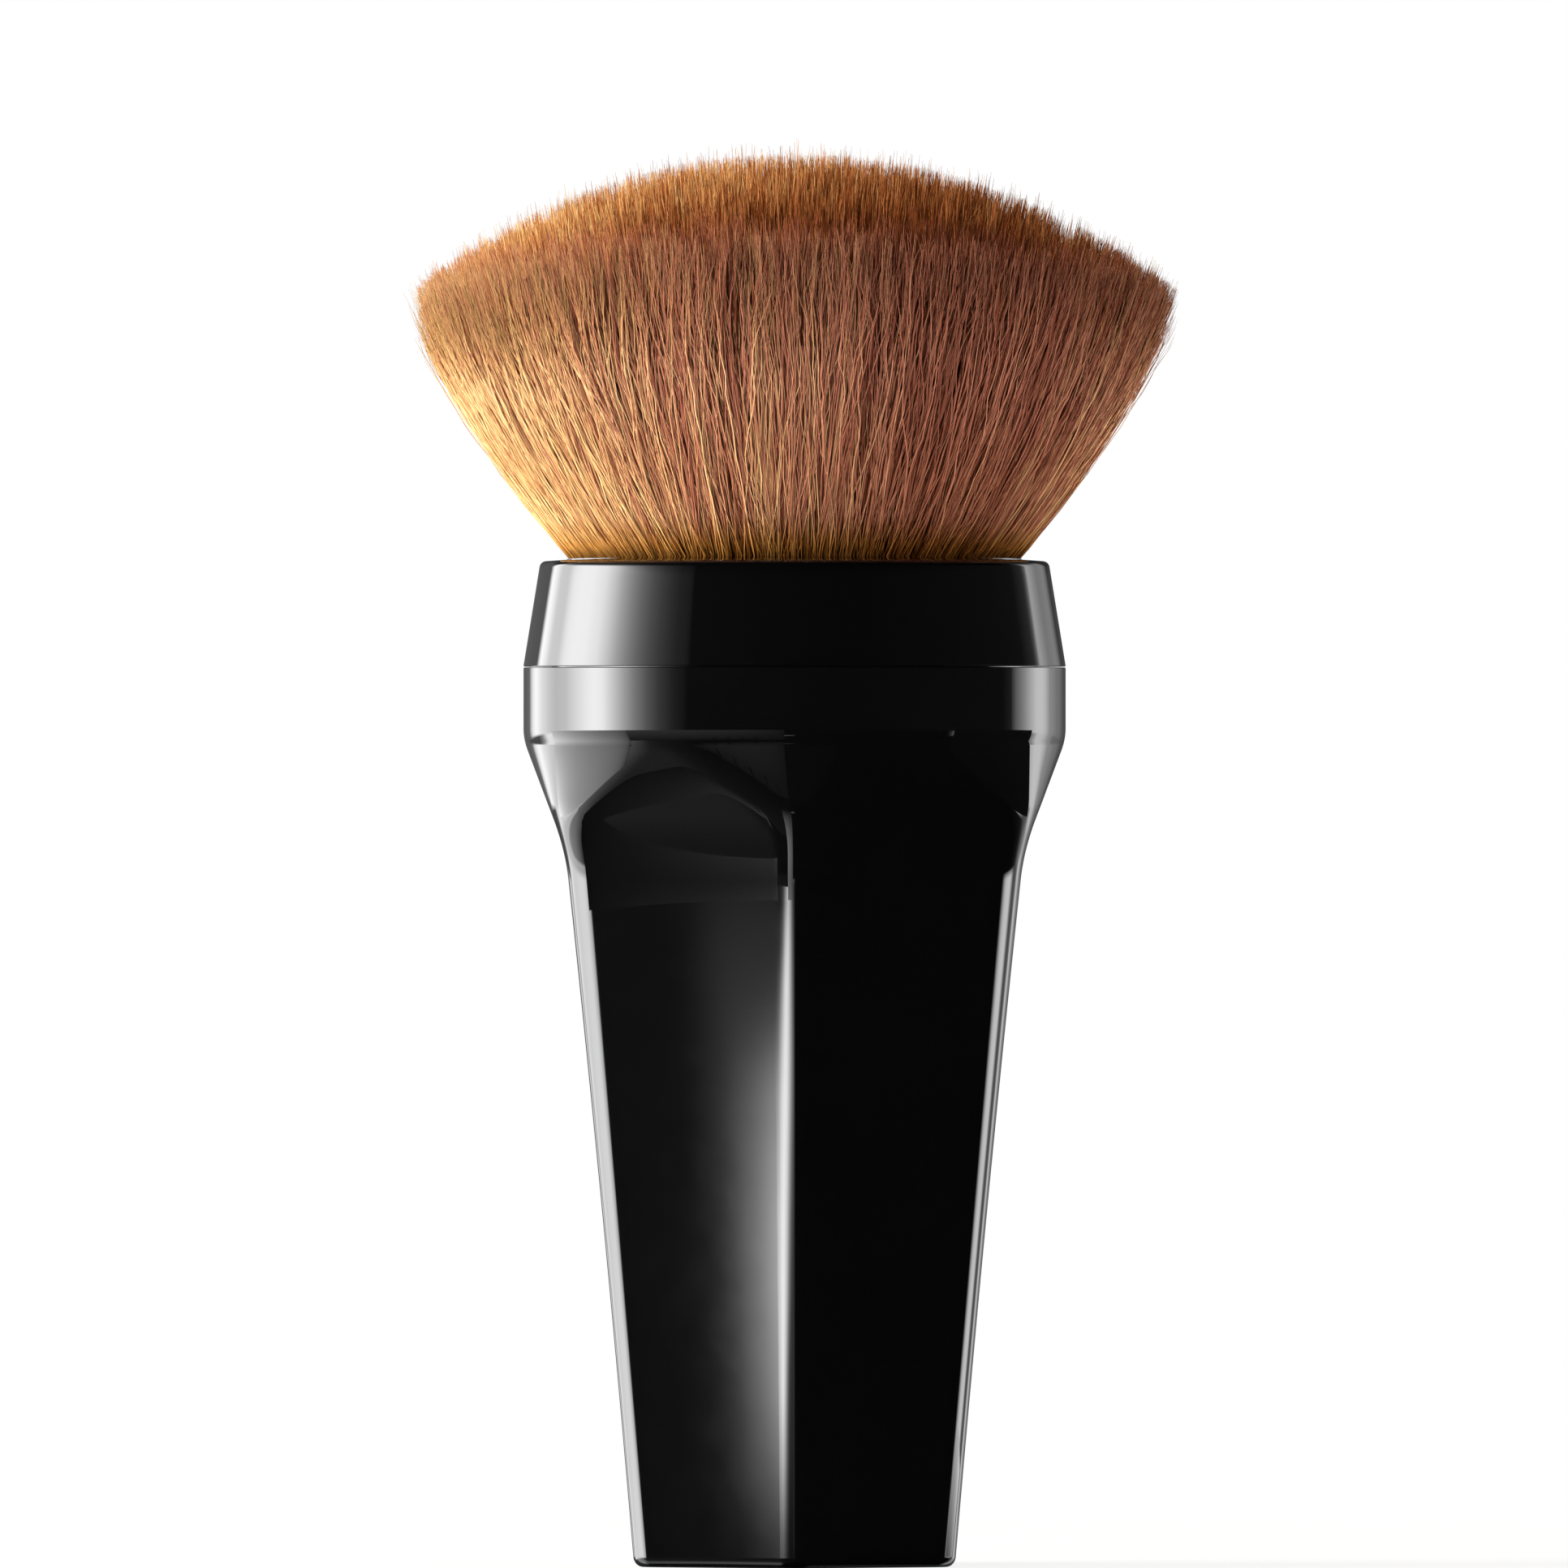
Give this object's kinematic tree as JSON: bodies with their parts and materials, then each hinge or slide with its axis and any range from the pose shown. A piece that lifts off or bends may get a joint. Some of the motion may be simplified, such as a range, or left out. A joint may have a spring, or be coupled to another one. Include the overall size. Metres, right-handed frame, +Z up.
{
  "type": "blush brush",
  "caption": "Short blush brush with a dense flared bristle head, a round collar and a tapered six-sided handle that stands on its base.",
  "frame": {"origin": "middle of the handle's base, on the surface that the brush stands on", "axes": "+Z up along the brush from its base to the crown of its bristles, -Y towards the front ridge of the handle, X across the wide way of the bristle head"},
  "size_m": [0.0536, 0.0444, 0.1],
  "materials": {
    "handle_black": "high gloss black, moulded",
    "collar_black": "high gloss black, moulded",
    "ferrule_metal": "dark anodised, satin",
    "amber_resin": "cured adhesive",
    "waxed_thread": "waxed thread",
    "bristle_brown": "fine synthetic filament, golden brown to reddish brown",
    "spacer_plastic": "matt, moulded",
    "pad_foam": "foam rubber",
    "weight_steel": "turned bar"
  },
  "bodies": {
    "root": {"handle_shell": "handle_black", "collar_ring": "collar_black", "ferrule_cup": "ferrule_metal", "resin_plug": "amber_resin", "root_binding": "waxed_thread", "bristle_tuft": "bristle_brown", "inner_spacer": "spacer_plastic", "weight_pad": "pad_foam", "balance_weight": "weight_steel"}
  },
  "joints": []
}
